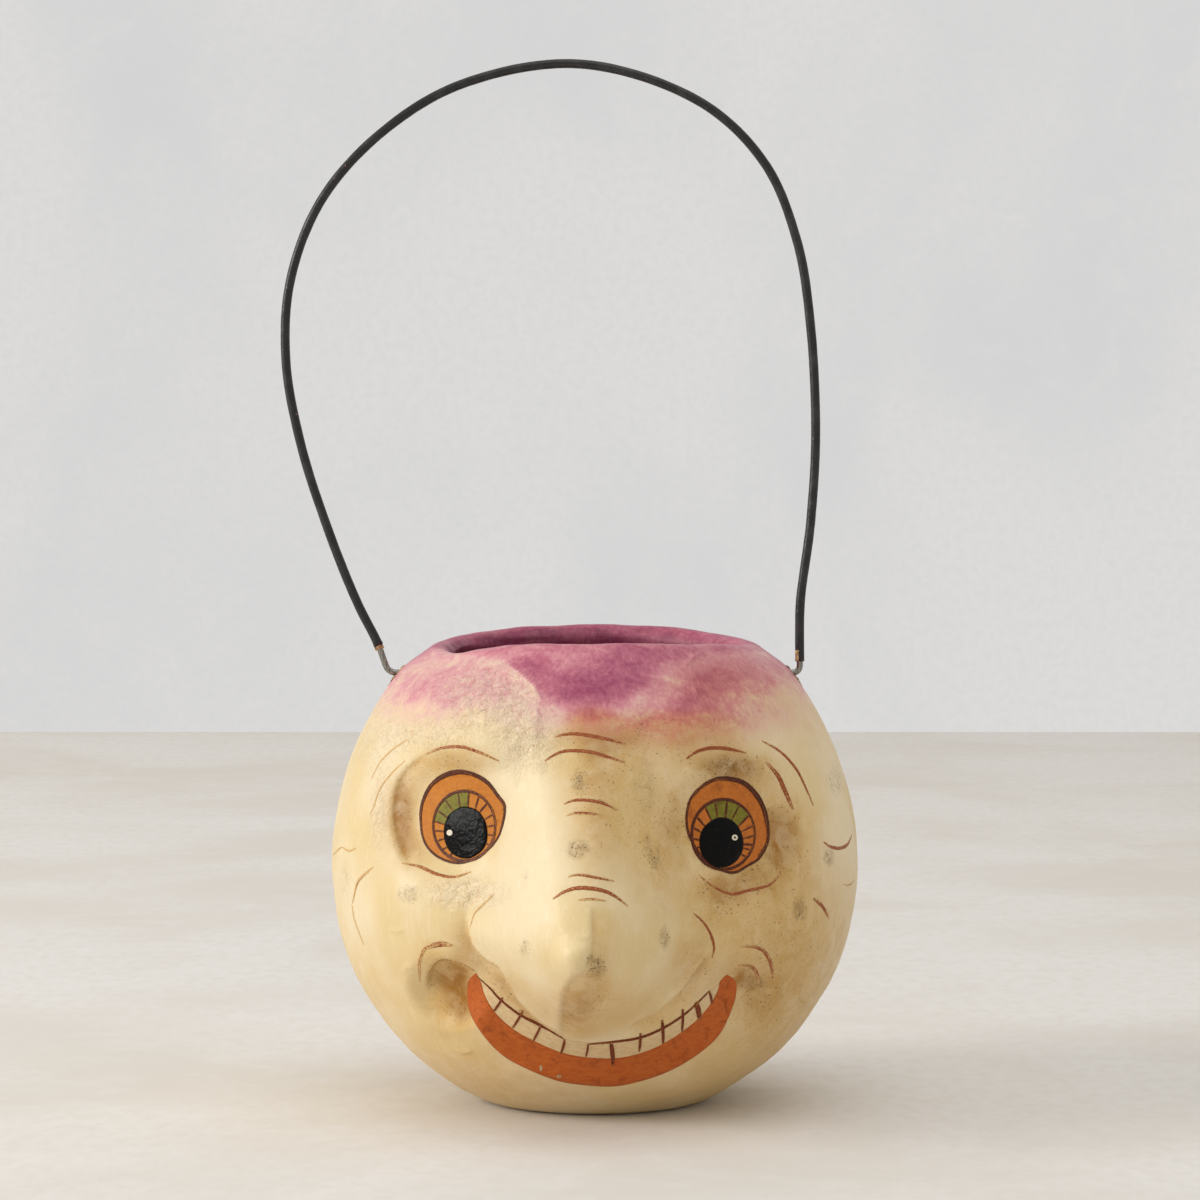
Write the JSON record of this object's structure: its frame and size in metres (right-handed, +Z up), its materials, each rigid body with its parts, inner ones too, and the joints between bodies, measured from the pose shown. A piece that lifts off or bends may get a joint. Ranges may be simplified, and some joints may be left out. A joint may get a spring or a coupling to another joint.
{
  "type": "papier-mache bucket",
  "caption": "Round hollow paper bucket shaped as a turnip with a smiling face, open at the top, with a paper-wrapped wire bail that swings over it.",
  "frame": {"origin": "centre of the flat foot, on the surface that the bucket stands on, under the middle of the mouth", "axes": "+Z up through the mouth, the face looks along -Y, the bail turns about a line along X"},
  "size_m": [0.1821, 0.1983, 0.3284],
  "materials": {
    "painted_paper": "cream paint under a satin varnish, with painted features",
    "purple_paper": "purple paint under a satin varnish",
    "kraft_paper": "plain gummed paper",
    "bare_wire": "dull drawn steel",
    "black_paper": "black satin paint on kraft paper"
  },
  "bodies": {
    "bucket": {"face_shell": "painted_paper", "back_shell": "painted_paper", "seam_tape": "kraft_paper", "rim_band": "purple_paper"},
    "bail": {"bail_wire": "bare_wire", "bail_wrap": "black_paper"}
  },
  "joints": [
    {"name": "bail_swing", "type": "hinge", "parent": "bucket", "child": "bail", "pos_m": [0, 0, 0.13538], "axis": [1, 0, 0], "range_deg": [-95, 95]}
  ]
}
